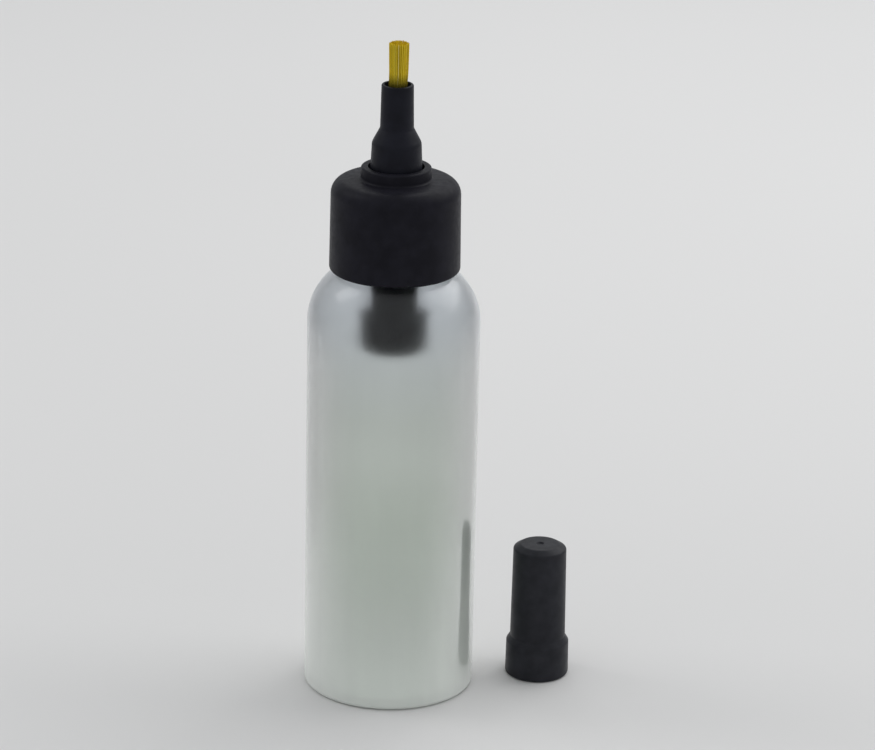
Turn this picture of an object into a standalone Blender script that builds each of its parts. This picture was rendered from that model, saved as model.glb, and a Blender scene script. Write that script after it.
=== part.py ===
"""A squeeze bottle with a spring-loaded brush nib, its overcap taken off and standing beside it.

Metres, +Z up. The origin is on the bottle's axis, at the level of its foot ring.
"""

import math

import bmesh
import bpy
from mathutils import Matrix, Vector

# Clearances
SEAT_GAP = 0.00015  # between faces that are stacked on each other
RUNNING_GAP = 0.00025  # around a piece that slides or turns in another
SKIRT_GAP = 0.0006  # under the closure's edge, above the shoulder
WELD = 1e-7

# Bottle
BOTTLE_RADIUS = 0.0175
BOTTLE_WALL = 0.0010
SIDE_HEIGHT = 0.0787  # foot to the start of the shoulder
HEEL_RADIUS = 0.0011
INNER_HEEL_RADIUS = 0.0012
BASE_RECESS = 0.0005
BASE_THICKNESS = 0.0012
FOOT_RING_WIDTH = 0.0035
RECESS_SLOPE_WIDTH = 0.0006
SHOULDER_ARC = 0.0127
NECK_RADIUS = 0.01075
NECK_BORE_RADIUS = 0.0088
NECK_HEIGHT = 0.01455
LAND_CHAMFER = 0.0003

# Screw thread of the neck and the closure
PITCH = 0.003175
THREAD_TURNS = 1.5
THREAD_DEPTH = 0.0011
THREAD_CREST_WIDTH = 0.0008
THREAD_FLANK_SLOPE = 0.45  # axial growth of each flank for each unit of depth
THREAD_FLANK_GAP = 0.0002
THREAD_CREST_GAP = 0.0003
THREAD_DROP = 0.0030  # sealing land down to the middle of the thread's upper end
THREAD_BURY = 0.0005
THREAD_FADE_TURNS = 0.12
THREAD_STEPS = 48

# Screw closure
CLOSURE_WALL = 0.0009
CLOSURE_DRAFT = 0.0002
CLOSURE_ROOF = 0.00137
CROWN_ARC = 0.0030
CROWN_RISE = 0.0003
CEILING_ARC = 0.0012
LOWER_EDGE_ARC = 0.0010
COLLAR_RADIUS = 0.0071
COLLAR_HEIGHT = 0.0025
COLLAR_EDGE = 0.00045

# Sealing ring between the neck and the nozzle
GASKET_THICKNESS = 0.0009

# Nozzle
FLANGE_RADIUS = 0.0105
FLANGE_THICKNESS = 0.0012
SPIGOT_LENGTH = 0.00305
SPIGOT_RADIUS = 0.0057
BARREL_RADIUS = 0.0054
BARREL_TOP_RADIUS = 0.0050
BARREL_HEIGHT = 0.00873
BARREL_EDGE_ARC = 0.0022
CONE_ANGLE = math.radians(28)
TUBE_FILLET = 0.0012
TUBE_ROOT_RADIUS = 0.00338
TUBE_TIP_RADIUS = 0.00322
TUBE_LENGTH = 0.00862
TUBE_EDGE = 0.0003
BORE_STEP_DROP = 0.0013  # tube's root down to the step that stops the nib
NIB_FLANGE_OVERLAP = 0.00068  # how much wider the lower bore is than the upper one

# Brush and its holder
BRUSH_RADIUS = 0.00187
BRUSH_FLARE = 0.0001
BRUSH_REACH = 0.0085  # beyond the nozzle's tip
BRUSH_RAGGED = 0.00018
BRISTLE_RINGS = 3
BRISTLE_GAP = 0.00012
BRISTLE_SIDES = 6
SOCKET_DEPTH = 0.0060
HOLDER_WALL = 0.0004
HOLDER_SET_BACK = 0.0010  # below the nozzle's tip
HOLDER_FLANGE_THICKNESS = 0.00115
HOLDER_PORT_RADIUS = 0.0010
NIB_TRAVEL = 0.0025  # pressed in, until the guide pin meets the post in the cup
STOP_GAP = 0.0003

# Valve
SEAL_THICKNESS = 0.0008
SEAL_WIDTH = 0.0014
PLUNGER_HEAD_RADIUS = 0.0049
PLUNGER_HEAD_THICKNESS = 0.0016
PLUNGER_RIB_THICKNESS = 0.0008
GUIDE_PIN_RADIUS = 0.0022
GUIDE_PIN_EDGE = 0.0005
CUP_WALL = 0.0010
CUP_LENGTH = 0.0327
CUP_FLOOR = 0.0014
CUP_EDGE_ARC = 0.0015
CUP_POST_HEIGHT = 0.0090
CUP_WINDOWS = 2
CUP_WINDOW_WIDTH = 0.0102
CUP_WINDOW_HEIGHT = 0.0080
CUP_WINDOW_SILL = 0.0074  # above the cup's underside

# Return spring
WIRE_RADIUS = 0.0003
SPRING_GAP = 0.0003
SPRING_ACTIVE_TURNS = 7
SPRING_CLOSED_TURNS = 1
SPRING_CLOSED_PITCH = 2.3  # in wire radii
SPRING_STEPS = 14

# Overcap
CAP_PLACE = Vector((0.0311, 0.0042, 0.0))
CAP_GRIP_HEIGHT = 0.0073
CAP_GRIP_RADIUS = 0.0066
CAP_GRIP_DRAFT = 0.0001
CAP_STEP_HEIGHT = 0.0012
CAP_BODY_RADIUS = 0.00575
CAP_BODY_DRAFT = 0.00024
CAP_ROOF = 0.0024
CAP_ROOF_CHAMFER = 0.0015
CAP_ROOF_DROP = 0.0009
CAP_HEADROOM = 0.0010
CAP_BORE_GAP = 0.0001
CAP_INNER_WALL = 0.0013
CAP_BEAD = 0.00005
CAP_BEAD_HEIGHT = 0.0025
CAP_BEAD_LENGTH = 0.0008
CAP_EDGE = 0.0003
CAP_FOOT_CHAMFER = 0.0005
CAP_GATE_RADIUS = 0.0009
CAP_GATE_DEPTH = 0.0003

# Facets round a full turn
BOTTLE_SEGMENTS = 48
NOZZLE_SEGMENTS = 32
VALVE_SEGMENTS = 24
SHARP_ANGLE = math.radians(32)


def shoulder_height(radius):
    """Height of the bottle's rounded shoulder at this distance from the axis."""
    across = radius - (BOTTLE_RADIUS - SHOULDER_ARC)
    return SIDE_HEIGHT + math.sqrt(SHOULDER_ARC**2 - across**2)


# Radii that follow from the ones above
THREAD_RADIUS = NECK_RADIUS + THREAD_DEPTH
SKIRT_BORE_RADIUS = THREAD_RADIUS + THREAD_CREST_GAP
INNER_THREAD_RADIUS = NECK_RADIUS + THREAD_CREST_GAP
CLOSURE_TOP_RADIUS = SKIRT_BORE_RADIUS + CLOSURE_WALL
COLLAR_BORE_RADIUS = BARREL_RADIUS + RUNNING_GAP
SOCKET_RADIUS = BRUSH_RADIUS + SEAT_GAP
HOLDER_RADIUS = SOCKET_RADIUS + HOLDER_WALL
NIB_BORE_RADIUS = HOLDER_RADIUS + RUNNING_GAP
VALVE_BORE_RADIUS = NIB_BORE_RADIUS + NIB_FLANGE_OVERLAP
HOLDER_FLANGE_RADIUS = VALVE_BORE_RADIUS - RUNNING_GAP
SEAL_BORE_RADIUS = VALVE_BORE_RADIUS + RUNNING_GAP
CUP_BORE_RADIUS = SPIGOT_RADIUS + RUNNING_GAP
CUP_RADIUS = CUP_BORE_RADIUS + CUP_WALL
SPRING_RADIUS = GUIDE_PIN_RADIUS + SPRING_GAP + WIRE_RADIUS
CAP_BORE_RADIUS = BARREL_RADIUS + CAP_BORE_GAP

# Heights that follow, from the shoulder up
CLOSURE_BASE = shoulder_height(SKIRT_BORE_RADIUS) + SKIRT_GAP
NECK_BASE = shoulder_height(NECK_RADIUS)
LAND = NECK_BASE + NECK_HEIGHT
GASKET_BASE = LAND + SEAT_GAP
FLANGE_BASE = GASKET_BASE + GASKET_THICKNESS + SEAT_GAP
CLOSURE_CEILING = FLANGE_BASE + FLANGE_THICKNESS + SEAT_GAP
CLOSURE_HEIGHT = CLOSURE_CEILING + CLOSURE_ROOF - CLOSURE_BASE
COLLAR_TOP = CLOSURE_BASE + CLOSURE_HEIGHT + CROWN_RISE + COLLAR_HEIGHT
NECK_THREAD_START = LAND - THREAD_DROP - PITCH * THREAD_TURNS
THREAD_OFFSET = (
    THREAD_CREST_WIDTH
    + THREAD_FLANK_SLOPE * (THREAD_RADIUS - INNER_THREAD_RADIUS)
    + THREAD_FLANK_GAP
)
BARREL_TOP = FLANGE_THICKNESS + BARREL_HEIGHT  # above the flange's underside
CONE_RUN = (
    BARREL_TOP_RADIUS
    - TUBE_ROOT_RADIUS
    - (BARREL_EDGE_ARC + TUBE_FILLET) * (1 - math.cos(CONE_ANGLE))
)
CONE_HEIGHT = (BARREL_EDGE_ARC + TUBE_FILLET) * math.sin(CONE_ANGLE) + CONE_RUN / math.tan(CONE_ANGLE)
TUBE_ROOT = BARREL_TOP + CONE_HEIGHT
NOZZLE_TIP = TUBE_ROOT + TUBE_LENGTH
BORE_STEP = TUBE_ROOT - BORE_STEP_DROP
HOLDER_BASE = FLANGE_BASE + BORE_STEP - SEAT_GAP - HOLDER_FLANGE_THICKNESS
HOLDER_TOP = FLANGE_BASE + NOZZLE_TIP - HOLDER_SET_BACK
HOLDER_LENGTH = HOLDER_TOP - HOLDER_BASE
BRUSH_BASE = HOLDER_TOP - SOCKET_DEPTH + SEAT_GAP
BRUSH_LENGTH = FLANGE_BASE + NOZZLE_TIP + BRUSH_REACH - BRUSH_BASE
SEAL_BASE = FLANGE_BASE - SPIGOT_LENGTH - SEAT_GAP - SEAL_THICKNESS
PLUNGER_HEAD_TOP = SEAL_BASE - SEAT_GAP
PLUNGER_HEAD_BASE = PLUNGER_HEAD_TOP - PLUNGER_HEAD_THICKNESS
PLUNGER_STEM_LENGTH = HOLDER_BASE - SEAT_GAP - PLUNGER_HEAD_TOP
CUP_BASE = FLANGE_BASE - SEAT_GAP - CUP_LENGTH
PLUNGER_BASE = CUP_BASE + CUP_FLOOR + CUP_POST_HEIGHT + STOP_GAP + NIB_TRAVEL
SPRING_BASE = CUP_BASE + CUP_FLOOR + SEAT_GAP
SPRING_LENGTH = PLUNGER_HEAD_BASE - SEAT_GAP - SPRING_BASE
CAP_DEPTH = FLANGE_BASE + NOZZLE_TIP + BRUSH_REACH - COLLAR_TOP + CAP_HEADROOM
CAP_HEIGHT = CAP_DEPTH + CAP_ROOF


def clear_scene():
    for thing in list(bpy.data.objects):
        bpy.data.objects.remove(thing, do_unlink=True)


def plastic(name, colour, roughness, metallic=0.0, see_through=0.0):
    material = bpy.data.materials.new(name)
    material.use_nodes = True
    shader = material.node_tree.nodes["Principled BSDF"]
    shader.inputs["Base Color"].default_value = (*colour, 1.0)
    shader.inputs["Roughness"].default_value = roughness
    shader.inputs["Metallic"].default_value = metallic
    shader.inputs["Transmission Weight"].default_value = see_through
    return material


def arc(centre, radius, start, end, steps):
    """Points on a circle in the (radius, height) plane, from one angle to another in degrees."""
    points = []
    for step in range(steps + 1):
        angle = math.radians(start + (end - start) * step / steps)
        points.append((centre[0] + radius * math.cos(angle), centre[1] + radius * math.sin(angle)))
    return points


def add_object(name, shape, material):
    """Makes a smooth-shaded object of a bmesh and frees it."""
    bmesh.ops.remove_doubles(shape, verts=shape.verts, dist=WELD)
    bmesh.ops.recalc_face_normals(shape, faces=shape.faces)
    mesh = bpy.data.meshes.new(name)
    shape.to_mesh(mesh)
    shape.free()
    mesh.shade_smooth()
    mesh.set_sharp_from_angle(angle=SHARP_ANGLE)
    mesh.materials.append(material)
    piece = bpy.data.objects.new(name, mesh)
    bpy.context.scene.collection.objects.link(piece)
    return piece


def turned(name, outline, segments, material):
    """A turned piece: a closed outline, or one that runs from the axis back to the axis."""
    shape = bmesh.new()
    corners = [shape.verts.new((radius, 0.0, height)) for radius, height in outline]
    pairs = list(zip(corners, corners[1:]))
    if outline[0][0] > 0:
        pairs.append((corners[-1], corners[0]))
    edges = [shape.edges.new(pair) for pair in pairs]
    bmesh.ops.spin(
        shape,
        geom=corners + edges,
        cent=(0.0, 0.0, 0.0),
        axis=(0.0, 0.0, 1.0),
        angle=math.tau,
        steps=segments,
        use_merge=True,
    )
    return add_object(name, shape, material)


def bridge_sections(shape, sections):
    """Joins equal rings of vertices into a closed sweep with flat ends."""
    for first, second in zip(sections, sections[1:]):
        for index in range(len(first)):
            after = (index + 1) % len(first)
            shape.faces.new((first[index], first[after], second[after], second[index]))
    shape.faces.new(sections[0])
    shape.faces.new(sections[-1])


def thread_ridge(name, wall_radius, crest_radius, start_height, material):
    """One helical ridge on a wall, outward or inward, that sinks into the wall at both ends."""
    outward = 1 if crest_radius > wall_radius else -1
    buried_radius = wall_radius - outward * THREAD_BURY
    steps = round(THREAD_TURNS * THREAD_STEPS)
    fade_steps = THREAD_FADE_TURNS * THREAD_STEPS
    crest_half = THREAD_CREST_WIDTH / 2
    shape = bmesh.new()
    sections = []
    for step in range(steps + 1):
        angle = math.tau * step / THREAD_STEPS
        middle = start_height + PITCH * step / THREAD_STEPS
        fade = min(1.0, step / fade_steps, (steps - step) / fade_steps)
        sunk = wall_radius - outward * THREAD_BURY / 2
        top = sunk + (crest_radius - sunk) * fade
        buried_half = crest_half + THREAD_FLANK_SLOPE * abs(crest_radius - buried_radius)
        top_half = crest_half + THREAD_FLANK_SLOPE * abs(crest_radius - top)
        corners = (
            (buried_radius, -buried_half),
            (top, -top_half),
            (top, top_half),
            (buried_radius, buried_half),
        )
        turn = Matrix.Rotation(angle, 4, "Z")
        sections.append(
            [shape.verts.new(turn @ Vector((radius, 0.0, middle + rise))) for radius, rise in corners]
        )
    bridge_sections(shape, sections)
    return add_object(name, shape, material)


def combine(piece, other, operation):
    """A Boolean that keeps its other object as a hidden guide."""
    other.hide_render = True
    other.display_type = "WIRE"
    modifier = piece.modifiers.new(other.name, "BOOLEAN")
    modifier.operation = operation
    modifier.solver = "EXACT"
    modifier.object = other


def carried(piece, carrier, height):
    """Parents a piece to its carrier and puts its own zero at this height above the foot."""
    piece.parent = carrier
    piece.location = (0.0, 0.0, height - carrier["height"])
    return piece


def joint_axis(name, height, parent=None):
    """An empty on the bottle's axis that the pieces of one moving body hang from."""
    empty = bpy.data.objects.new(name, None)
    empty.empty_display_size = BOTTLE_RADIUS
    empty["height"] = height
    bpy.context.scene.collection.objects.link(empty)
    empty.parent = parent
    empty.location = (0.0, 0.0, height - (parent["height"] if parent else 0.0))
    return empty


def bottle_outline():
    centre_radius = BOTTLE_RADIUS - SHOULDER_ARC
    centre = (centre_radius, SIDE_HEIGHT)
    neck_angle = math.degrees(math.acos((NECK_RADIUS - centre_radius) / SHOULDER_ARC))
    inner_arc = SHOULDER_ARC - BOTTLE_WALL
    bore_angle = math.degrees(math.acos((NECK_BORE_RADIUS - centre_radius) / inner_arc))
    bore_radius = BOTTLE_RADIUS - BOTTLE_WALL
    floor = BASE_RECESS + BASE_THICKNESS
    ring_outer = BOTTLE_RADIUS - HEEL_RADIUS
    ring_inner = ring_outer - FOOT_RING_WIDTH
    return [
        (0.0, BASE_RECESS),
        (ring_inner - RECESS_SLOPE_WIDTH, BASE_RECESS),
        (ring_inner, 0.0),
        *arc((ring_outer, HEEL_RADIUS), HEEL_RADIUS, -90, 0, 4),
        *arc(centre, SHOULDER_ARC, 0, neck_angle, 9),
        (NECK_RADIUS, LAND - LAND_CHAMFER),
        (NECK_RADIUS - LAND_CHAMFER, LAND),
        (NECK_BORE_RADIUS, LAND),
        *arc(centre, inner_arc, bore_angle, 0, 7),
        *arc((bore_radius - INNER_HEEL_RADIUS, floor + INNER_HEEL_RADIUS), INNER_HEEL_RADIUS, 0, -90, 3),
        (0.0, floor),
    ]


def make_bottle(material):
    bottle = turned("bottle", bottle_outline(), BOTTLE_SEGMENTS, material)
    ridge = thread_ridge("neck_thread", NECK_RADIUS, THREAD_RADIUS, NECK_THREAD_START, material)
    combine(bottle, ridge, "UNION")
    return bottle


def make_closure(material, carrier):
    skirt_radius = CLOSURE_TOP_RADIUS + CLOSURE_DRAFT
    crown_centre = (CLOSURE_TOP_RADIUS - CROWN_ARC, CLOSURE_HEIGHT - CROWN_ARC)
    collar_base = CLOSURE_HEIGHT + CROWN_RISE
    collar_top = collar_base + COLLAR_HEIGHT
    edge_centre = (skirt_radius - LOWER_EDGE_ARC, LOWER_EDGE_ARC)
    collar_centre = (COLLAR_RADIUS - COLLAR_EDGE, collar_top - COLLAR_EDGE)
    ceiling = CLOSURE_HEIGHT - CLOSURE_ROOF
    ceiling_centre = (SKIRT_BORE_RADIUS - CEILING_ARC, ceiling - CEILING_ARC)
    outline = [
        (SKIRT_BORE_RADIUS, 0.0),
        *arc(edge_centre, LOWER_EDGE_ARC, -90, 0, 3),
        *arc(crown_centre, CROWN_ARC, 0, 90, 5),
        (COLLAR_RADIUS, collar_base),
        *arc(collar_centre, COLLAR_EDGE, 0, 90, 2),
        (COLLAR_BORE_RADIUS, collar_top),
        (COLLAR_BORE_RADIUS, ceiling),
        *arc(ceiling_centre, CEILING_ARC, 90, 0, 3),
    ]
    closure = turned("screw_closure", outline, BOTTLE_SEGMENTS, material)
    thread_start = NECK_THREAD_START - THREAD_OFFSET - CLOSURE_BASE
    ridge = thread_ridge(
        "closure_thread", SKIRT_BORE_RADIUS, INNER_THREAD_RADIUS, thread_start, material
    )
    combine(closure, ridge, "UNION")
    carried(ridge, carrier, CLOSURE_BASE)
    return carried(closure, carrier, CLOSURE_BASE)


def make_gasket(material, carrier):
    outline = [
        (NECK_BORE_RADIUS + SEAT_GAP, 0.0),
        (FLANGE_RADIUS, 0.0),
        (FLANGE_RADIUS, GASKET_THICKNESS),
        (NECK_BORE_RADIUS + SEAT_GAP, GASKET_THICKNESS),
    ]
    return carried(turned("neck_gasket", outline, BOTTLE_SEGMENTS, material), carrier, GASKET_BASE)


def nozzle_outline():
    """The nozzle's section, from its flange's underside: barrel, cone, tube and stepped bore."""
    slope = math.degrees(CONE_ANGLE)
    barrel_centre = (BARREL_TOP_RADIUS - BARREL_EDGE_ARC, BARREL_TOP)
    fillet_centre = (TUBE_ROOT_RADIUS + TUBE_FILLET, TUBE_ROOT)
    tip_centre = (TUBE_TIP_RADIUS - TUBE_EDGE, NOZZLE_TIP - TUBE_EDGE)
    return [
        (VALVE_BORE_RADIUS, -SPIGOT_LENGTH),
        (SPIGOT_RADIUS, -SPIGOT_LENGTH),
        (SPIGOT_RADIUS, 0.0),
        (FLANGE_RADIUS, 0.0),
        (FLANGE_RADIUS, FLANGE_THICKNESS),
        (BARREL_RADIUS, FLANGE_THICKNESS),
        *arc(barrel_centre, BARREL_EDGE_ARC, 0, slope, 4),
        *arc(fillet_centre, TUBE_FILLET, 180 + slope, 180, 3),
        *arc(tip_centre, TUBE_EDGE, 0, 90, 2),
        (NIB_BORE_RADIUS, NOZZLE_TIP),
        (NIB_BORE_RADIUS, BORE_STEP),
        (VALVE_BORE_RADIUS, BORE_STEP),
    ]


def make_nozzle(material, carrier):
    return carried(turned("nozzle", nozzle_outline(), NOZZLE_SEGMENTS, material), carrier, FLANGE_BASE)


def window_cutter(material):
    """Bars through the cup's wall, one for each window, as separate closed boxes in one guide."""
    shape = bmesh.new()
    reach = CUP_RADIUS + CUP_WALL
    start = GUIDE_PIN_RADIUS + SPRING_GAP + 2 * WIRE_RADIUS
    middle = Vector(((reach + start) / 2, 0.0, CUP_WINDOW_SILL + CUP_WINDOW_HEIGHT / 2))
    size = Matrix.Diagonal((reach - start, CUP_WINDOW_WIDTH, CUP_WINDOW_HEIGHT, 1.0))
    for index in range(CUP_WINDOWS):
        turn = Matrix.Rotation(math.tau * index / CUP_WINDOWS, 4, "Z")
        bmesh.ops.create_cube(shape, size=1.0, matrix=turn @ Matrix.Translation(middle) @ size)
    return add_object("cup_window_cutter", shape, material)


def make_valve_cup(material, carrier):
    outline = [
        (0.0, 0.0),
        *arc((CUP_RADIUS - CUP_EDGE_ARC, CUP_EDGE_ARC), CUP_EDGE_ARC, -90, 0, 3),
        (CUP_RADIUS, CUP_LENGTH),
        (CUP_BORE_RADIUS, CUP_LENGTH),
        (CUP_BORE_RADIUS, CUP_FLOOR),
        (GUIDE_PIN_RADIUS, CUP_FLOOR),
        (GUIDE_PIN_RADIUS, CUP_FLOOR + CUP_POST_HEIGHT - GUIDE_PIN_EDGE),
        (GUIDE_PIN_RADIUS - GUIDE_PIN_EDGE, CUP_FLOOR + CUP_POST_HEIGHT),
        (0.0, CUP_FLOOR + CUP_POST_HEIGHT),
    ]
    cup = turned("valve_cup", outline, VALVE_SEGMENTS, material)
    cutter = window_cutter(material)
    combine(cup, cutter, "DIFFERENCE")
    carried(cutter, carrier, CUP_BASE)
    return carried(cup, carrier, CUP_BASE)


def stem_cross(length, start, material):
    """The stem's four ribs, which guide it in the bore and leave room for the liquid between them."""
    reach = VALVE_BORE_RADIUS - RUNNING_GAP
    half = PLUNGER_RIB_THICKNESS / 2
    corners = []
    for index in range(4):
        turn = Matrix.Rotation(math.tau * index / 4, 3, "Z")
        for along, across in ((half, -half), (reach, -half), (reach, half)):
            corners.append(turn @ Vector((along, across, 0.0)))
    shape = bmesh.new()
    foot = [shape.verts.new(corner + Vector((0.0, 0.0, start))) for corner in corners]
    head = [shape.verts.new(corner + Vector((0.0, 0.0, start + length))) for corner in corners]
    bridge_sections(shape, [foot, head])
    return add_object("plunger_stem", shape, material)


def make_plunger(material, carrier):
    head_base = PLUNGER_HEAD_BASE - PLUNGER_BASE
    head_top = head_base + PLUNGER_HEAD_THICKNESS
    outline = [
        (0.0, 0.0),
        (GUIDE_PIN_RADIUS - GUIDE_PIN_EDGE, 0.0),
        (GUIDE_PIN_RADIUS, GUIDE_PIN_EDGE),
        (GUIDE_PIN_RADIUS, head_base),
        (PLUNGER_HEAD_RADIUS, head_base),
        (PLUNGER_HEAD_RADIUS, head_top),
        (0.0, head_top),
    ]
    plunger = turned("valve_plunger", outline, VALVE_SEGMENTS, material)
    buried = PLUNGER_HEAD_THICKNESS / 2
    stem = stem_cross(PLUNGER_STEM_LENGTH + buried, head_top - buried, material)
    combine(plunger, stem, "UNION")
    carried(stem, carrier, PLUNGER_BASE)
    return carried(plunger, carrier, PLUNGER_BASE)


def make_seal(material, carrier):
    outline = [
        (SEAL_BORE_RADIUS, 0.0),
        (SEAL_BORE_RADIUS + SEAL_WIDTH, 0.0),
        (SEAL_BORE_RADIUS + SEAL_WIDTH, SEAL_THICKNESS),
        (SEAL_BORE_RADIUS, SEAL_THICKNESS),
    ]
    return carried(turned("valve_seal", outline, VALVE_SEGMENTS, material), carrier, SEAL_BASE)


def spring_height(turn):
    """Height of the wire's middle after this many turns: closed end coils, even ones between."""
    closed = SPRING_CLOSED_PITCH * WIRE_RADIUS
    open_height = SPRING_LENGTH - 2 * WIRE_RADIUS - 2 * SPRING_CLOSED_TURNS * closed
    open_pitch = open_height / SPRING_ACTIVE_TURNS
    if turn <= SPRING_CLOSED_TURNS:
        return WIRE_RADIUS + closed * turn
    if turn <= SPRING_CLOSED_TURNS + SPRING_ACTIVE_TURNS:
        return WIRE_RADIUS + closed * SPRING_CLOSED_TURNS + open_pitch * (turn - SPRING_CLOSED_TURNS)
    last = SPRING_ACTIVE_TURNS + 2 * SPRING_CLOSED_TURNS
    return SPRING_LENGTH - WIRE_RADIUS - closed * (last - turn)


def make_spring(material, carrier):
    """A wire coil, as a bevelled curve with filled ends."""
    turns = SPRING_ACTIVE_TURNS + 2 * SPRING_CLOSED_TURNS
    count = turns * SPRING_STEPS + 1
    curve = bpy.data.curves.new("return_spring", "CURVE")
    curve.dimensions = "3D"
    curve.bevel_depth = WIRE_RADIUS
    curve.bevel_resolution = 1
    curve.use_fill_caps = True
    wire = curve.splines.new("POLY")
    wire.points.add(count - 1)
    for step in range(count):
        angle = math.tau * step / SPRING_STEPS
        across = SPRING_RADIUS * math.cos(angle)
        along = SPRING_RADIUS * math.sin(angle)
        wire.points[step].co = (across, along, spring_height(step / SPRING_STEPS), 1.0)
    curve.materials.append(material)
    spring = bpy.data.objects.new("return_spring", curve)
    bpy.context.scene.collection.objects.link(spring)
    return carried(spring, carrier, SPRING_BASE)


def make_holder(material, carrier):
    floor = HOLDER_LENGTH - SOCKET_DEPTH
    outline = [
        (HOLDER_PORT_RADIUS, 0.0),
        (HOLDER_FLANGE_RADIUS, 0.0),
        (HOLDER_FLANGE_RADIUS, HOLDER_FLANGE_THICKNESS),
        (HOLDER_RADIUS, HOLDER_FLANGE_THICKNESS),
        (HOLDER_RADIUS, HOLDER_LENGTH),
        (SOCKET_RADIUS, HOLDER_LENGTH),
        (SOCKET_RADIUS, floor),
        (HOLDER_PORT_RADIUS, floor),
    ]
    return carried(turned("nib_holder", outline, VALVE_SEGMENTS, material), carrier, HOLDER_BASE)


def bristle_places():
    """Middles of the bristles in a hexagonal bundle, as (x, y) in bristle spacings."""
    places = []
    for row in range(-BRISTLE_RINGS, BRISTLE_RINGS + 1):
        for column in range(-BRISTLE_RINGS, BRISTLE_RINGS + 1):
            if abs(row + column) <= BRISTLE_RINGS:
                places.append((column + row / 2, row * math.sqrt(3) / 2))
    return places


def bristles(root, material):
    """Separate hexagonal bristles, spread a little at their cut tips, that grow out of the root."""
    spacing = (2 * BRUSH_RADIUS + BRISTLE_GAP) / (2 * BRISTLE_RINGS + 1)
    radius = (spacing - BRISTLE_GAP) / 2
    shape = bmesh.new()
    for index, (across, along) in enumerate(bristle_places()):
        place = Vector((across, along, 0.0)) * spacing
        tip = BRUSH_LENGTH - BRUSH_RAGGED * (1 + math.sin(2.4 * index)) / 2
        rings = []
        for height, spread in ((root / 2, 1.0), (root, 1.0), (tip, 1 + BRUSH_FLARE / BRUSH_RADIUS)):
            ring = []
            for side in range(BRISTLE_SIDES):
                angle = math.tau * (side + 0.5) / BRISTLE_SIDES
                offset = Vector((math.cos(angle), math.sin(angle), 0.0)) * radius
                ring.append(shape.verts.new(place * spread + offset + Vector((0.0, 0.0, height))))
            rings.append(ring)
        bridge_sections(shape, rings)
    return add_object("bristles", shape, material)


def make_brush(material, carrier):
    root = SOCKET_DEPTH - SEAT_GAP
    outline = [(0.0, 0.0), (BRUSH_RADIUS, 0.0), (BRUSH_RADIUS, root), (0.0, root)]
    tuft = turned("brush_tuft", outline, VALVE_SEGMENTS, material)
    strands = bristles(root, material)
    combine(tuft, strands, "UNION")
    carried(strands, carrier, BRUSH_BASE)
    return carried(tuft, carrier, BRUSH_BASE)


def overcap_outline():
    """The cap's section: a wide grip over the barrel, a step, and a tall body with a gate mark on top."""
    step_top = CAP_GRIP_HEIGHT + CAP_STEP_HEIGHT
    body_top_radius = CAP_BODY_RADIUS - CAP_BODY_DRAFT
    inner_radius = body_top_radius - CAP_INNER_WALL
    bead_radius = CAP_BORE_RADIUS - CAP_BEAD
    bead_top = CAP_BEAD_HEIGHT + CAP_BEAD_LENGTH
    return [
        (0.0, CAP_DEPTH),
        (inner_radius, CAP_DEPTH),
        (CAP_BODY_RADIUS - CAP_INNER_WALL, step_top),
        (CAP_BORE_RADIUS, CAP_GRIP_HEIGHT),
        (CAP_BORE_RADIUS, bead_top),
        (bead_radius, CAP_BEAD_HEIGHT + CAP_BEAD_LENGTH / 2),
        (CAP_BORE_RADIUS, CAP_BEAD_HEIGHT),
        (CAP_BORE_RADIUS, CAP_EDGE),
        (CAP_BORE_RADIUS + CAP_EDGE, 0.0),
        (CAP_GRIP_RADIUS - CAP_FOOT_CHAMFER, 0.0),
        (CAP_GRIP_RADIUS, CAP_FOOT_CHAMFER),
        (CAP_GRIP_RADIUS - CAP_GRIP_DRAFT, CAP_GRIP_HEIGHT),
        (CAP_BODY_RADIUS, step_top),
        (body_top_radius, CAP_HEIGHT - CAP_ROOF_DROP),
        (body_top_radius - CAP_ROOF_CHAMFER, CAP_HEIGHT),
        (CAP_GATE_RADIUS, CAP_HEIGHT),
        (CAP_GATE_RADIUS - CAP_GATE_DEPTH, CAP_HEIGHT - CAP_GATE_DEPTH),
        (0.0, CAP_HEIGHT - CAP_GATE_DEPTH),
    ]


def make_overcap(material):
    overcap = turned("overcap", overcap_outline(), NOZZLE_SEGMENTS, material)
    overcap.location = CAP_PLACE
    return overcap


def main():
    clear_scene()
    frosted = plastic("frosted_polyethylene", (0.46, 0.50, 0.46), 0.35, see_through=0.4)
    black = plastic("black_polypropylene", (0.012, 0.012, 0.014), 0.45)
    ring = plastic("white_foam", (0.75, 0.75, 0.72), 0.7)
    valve = plastic("black_acetal", (0.015, 0.015, 0.017), 0.35)
    elastomer = plastic("grey_elastomer", (0.08, 0.08, 0.08), 0.6)
    steel = plastic("spring_steel", (0.55, 0.55, 0.56), 0.25, metallic=1.0)
    bristle = plastic("amber_bristle", (0.36, 0.23, 0.015), 0.4)

    lift_axis = joint_axis("closure_lift_axis", LAND)
    turn_axis = joint_axis("closure_turn_axis", CLOSURE_BASE, lift_axis)
    nib_axis = joint_axis("nib_press_axis", PLUNGER_BASE, lift_axis)

    make_bottle(frosted)
    make_closure(black, turn_axis)
    make_gasket(ring, lift_axis)
    make_nozzle(black, lift_axis)
    make_valve_cup(valve, lift_axis)
    make_spring(steel, lift_axis)
    make_plunger(valve, nib_axis)
    make_seal(elastomer, nib_axis)
    make_holder(valve, nib_axis)
    make_brush(bristle, nib_axis)
    make_overcap(black)


main()
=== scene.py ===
"""Looks of the spring nib dispensing bottle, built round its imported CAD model.

Metres, +Z up, in the CAD model's own frame: the bottle stands on z = 0, round the Z axis.
"""

import math
import random

import bmesh
import bpy
from mathutils import Matrix, Vector


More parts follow.
